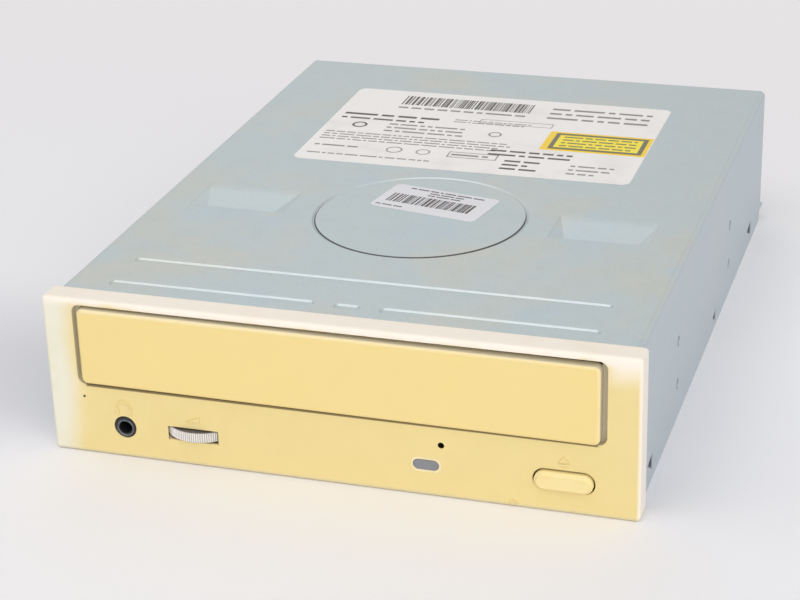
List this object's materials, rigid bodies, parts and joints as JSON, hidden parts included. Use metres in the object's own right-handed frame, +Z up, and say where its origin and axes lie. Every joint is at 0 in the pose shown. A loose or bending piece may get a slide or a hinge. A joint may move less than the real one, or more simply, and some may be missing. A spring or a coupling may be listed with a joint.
{
  "type": "cd-rom drive",
  "caption": "Half-height optical disc drive: steel case with sliding disc tray, moulded front with socket, volume wheel and eject button, lifting pickup unit inside.",
  "frame": {"origin": "middle of the underside of the drive's whole box", "axes": "+Z up, the front with the tray faces -Y, +X is to the right seen from the front"},
  "size_m": [0.149, 0.2008, 0.042],
  "materials": {
    "zinc_steel": "zinc plated",
    "screw_steel": "plated",
    "polished_steel": "polished",
    "motor_steel": "plated",
    "bezel_plastic": "fine moulded texture, yellowed",
    "door_plastic": "fine moulded texture, yellowed",
    "button_plastic": "satin",
    "wheel_plastic": "satin",
    "window_plastic": "clear",
    "lamp_plastic": "clear",
    "black_plastic": "satin",
    "tray_plastic": "fine texture",
    "chassis_plastic": "satin",
    "gear_plastic": "satin",
    "brass": "turned",
    "cast_metal": "cast",
    "rubber": "matt",
    "magnet": "nickel plated",
    "lens_glass": "coated",
    "circuit_board": "solder mask",
    "chip_plastic": "moulded",
    "gold_pins": "gold plated",
    "ribbon_plastic": "smooth",
    "control_plastic": "smooth",
    "bridge_steel": "zinc plated",
    "label_paper": "coated paper",
    "sticker_paper": "coated paper"
  },
  "bodies": {
    "case": {"top_cover": "zinc_steel", "bottom_plate": "zinc_steel", "case_screws": "screw_steel", "bezel": "bezel_plastic", "lamp_window": "window_plastic", "lamp": "lamp_plastic", "headphone_jack": "black_plastic", "volume_control": "control_plastic", "front_board": "circuit_board", "eject_switch": "black_plastic", "rating_label": "label_paper", "small_label": "sticker_paper", "main_frame": "black_plastic", "clamp_bridge": "bridge_steel", "bridge_screws": "screw_steel", "loading_motor": "motor_steel", "drive_belt": "rubber", "main_board": "circuit_board", "board_screws": "screw_steel", "chips": "chip_plastic", "data_connector": "black_plastic", "data_pins": "gold_pins", "power_connector": "gear_plastic", "power_pins": "polished_steel", "jumper_block": "black_plastic", "audio_connector": "gear_plastic", "front_cable": "ribbon_plastic"},
    "tray": {"tray": "tray_plastic", "tray_door": "door_plastic"},
    "eject_button": {"eject_button": "button_plastic"},
    "switch_plunger": {"switch_plunger": "gear_plastic"},
    "volume_wheel": {"volume_wheel": "wheel_plastic"},
    "clamper": {"clamper": "black_plastic", "clamp_plate": "motor_steel"},
    "traverse": {"traverse_chassis": "chassis_plastic", "traverse_dampers": "rubber", "traverse_screws": "screw_steel", "guide_rods": "polished_steel", "spindle_motor": "motor_steel", "feed_motor": "motor_steel"},
    "turntable": {"turntable": "black_plastic", "turntable_rubber": "rubber", "turntable_magnet": "magnet"},
    "pickup": {"pickup_body": "cast_metal", "pickup_rack": "gear_plastic"},
    "lens": {"lens_holder": "black_plastic", "lens": "lens_glass"},
    "feed_gear": {"feed_gear": "gear_plastic"},
    "feed_pinion": {"feed_pinion": "brass"},
    "drive_gear": {"drive_gear": "gear_plastic"},
    "pulley_gear": {"pulley_gear": "gear_plastic"},
    "motor_pulley": {"motor_pulley": "gear_plastic"},
    "cam_slider": {"cam_slider": "black_plastic"},
    "emergency_lever": {"emergency_lever": "black_plastic"}
  },
  "joints": [
    {"name": "tray_slide", "type": "slide", "parent": "case", "child": "tray", "axis": [0, -1, 0], "range_m": [0, 0.135]},
    {"name": "drive_gear_spin", "type": "hinge", "parent": "case", "child": "drive_gear", "pos_m": [-0.042, -0.0756, 0.021], "axis": [0, 0, 1], "range_deg": [0, 969.87]},
    {"name": "pulley_gear_spin", "type": "hinge", "parent": "case", "child": "pulley_gear", "pos_m": [-0.0252, -0.0756, 0.02], "axis": [0, 0, 1], "range_deg": [-2903.6, 0]},
    {"name": "motor_pulley_spin", "type": "hinge", "parent": "case", "child": "motor_pulley", "pos_m": [-0.0015, -0.0746, 0.019], "axis": [0, 0, 1], "range_deg": [-10607.19, 0]},
    {"name": "traverse_tilt", "type": "hinge", "parent": "case", "child": "traverse", "pos_m": [0, 0.0594, 0.019], "axis": [1, 0, 0], "range_deg": [0, 5.6]},
    {"name": "cam_slide", "type": "slide", "parent": "case", "child": "cam_slider", "axis": [-1, 0, 0], "range_m": [0, 0.01401]},
    {"name": "lever_turn", "type": "hinge", "parent": "case", "child": "emergency_lever", "pos_m": [0.0177, -0.0716, 0.014], "axis": [0, 0, 1], "range_deg": [0, 71.47]},
    {"name": "spindle_spin", "type": "hinge", "parent": "traverse", "child": "turntable", "pos_m": [0, -0.026, 0.028], "axis": [0, 0, 1], "continuous": true},
    {"name": "clamper_spin", "type": "hinge", "parent": "case", "child": "clamper", "pos_m": [0, -0.026, 0.035], "axis": [0, 0, 1], "continuous": true},
    {"name": "pickup_slide", "type": "slide", "parent": "traverse", "child": "pickup", "axis": [0, 1, 0], "range_m": [0, 0.035]},
    {"name": "feed_gear_spin", "type": "hinge", "parent": "traverse", "child": "feed_gear", "pos_m": [-0.0311, 0.0294, 0.024], "axis": [0, 0, 1], "range_deg": [0, 574.96]},
    {"name": "feed_pinion_spin", "type": "hinge", "parent": "traverse", "child": "feed_pinion", "pos_m": [-0.0332, 0.01962, 0.024], "axis": [0, 0, 1], "range_deg": [-1721.87, 0]},
    {"name": "lens_focus", "type": "slide", "parent": "pickup", "child": "lens", "axis": [0, 0, 1], "range_m": [-0.0006, 0.0006], "stiffness_N_per_m": 60},
    {"name": "eject_press", "type": "slide", "parent": "case", "child": "eject_button", "axis": [0, 1, 0], "range_m": [0, 0.0008], "stiffness_N_per_m": 500, "springref_m": -0.0004},
    {"name": "switch_press", "type": "slide", "parent": "case", "child": "switch_plunger", "axis": [0, 1, 0], "range_m": [0, 0.0008]},
    {"name": "volume_turn", "type": "hinge", "parent": "case", "child": "volume_wheel", "pos_m": [-0.03665, -0.0904, 0.0084], "axis": [0, 0, 1], "range_deg": [-135, 135]}
  ],
  "couplings": [
    {"joint": "drive_gear_spin", "follows": "tray_slide", "rad_per_m": 125},
    {"joint": "pulley_gear_spin", "follows": "tray_slide", "rad_per_m": -375},
    {"joint": "motor_pulley_spin", "follows": "tray_slide", "rad_per_m": -1370.7},
    {"joint": "cam_slide", "follows": "traverse_tilt", "m_per_rad": 0.14324},
    {"joint": "lever_turn", "follows": "traverse_tilt", "ratio": 12.745},
    {"joint": "clamper_spin", "follows": "spindle_spin", "ratio": 1},
    {"joint": "feed_gear_spin", "follows": "pickup_slide", "rad_per_m": 285.71},
    {"joint": "feed_pinion_spin", "follows": "pickup_slide", "rad_per_m": -857.14},
    {"joint": "switch_press", "follows": "eject_press", "ratio": 1}
  ]
}
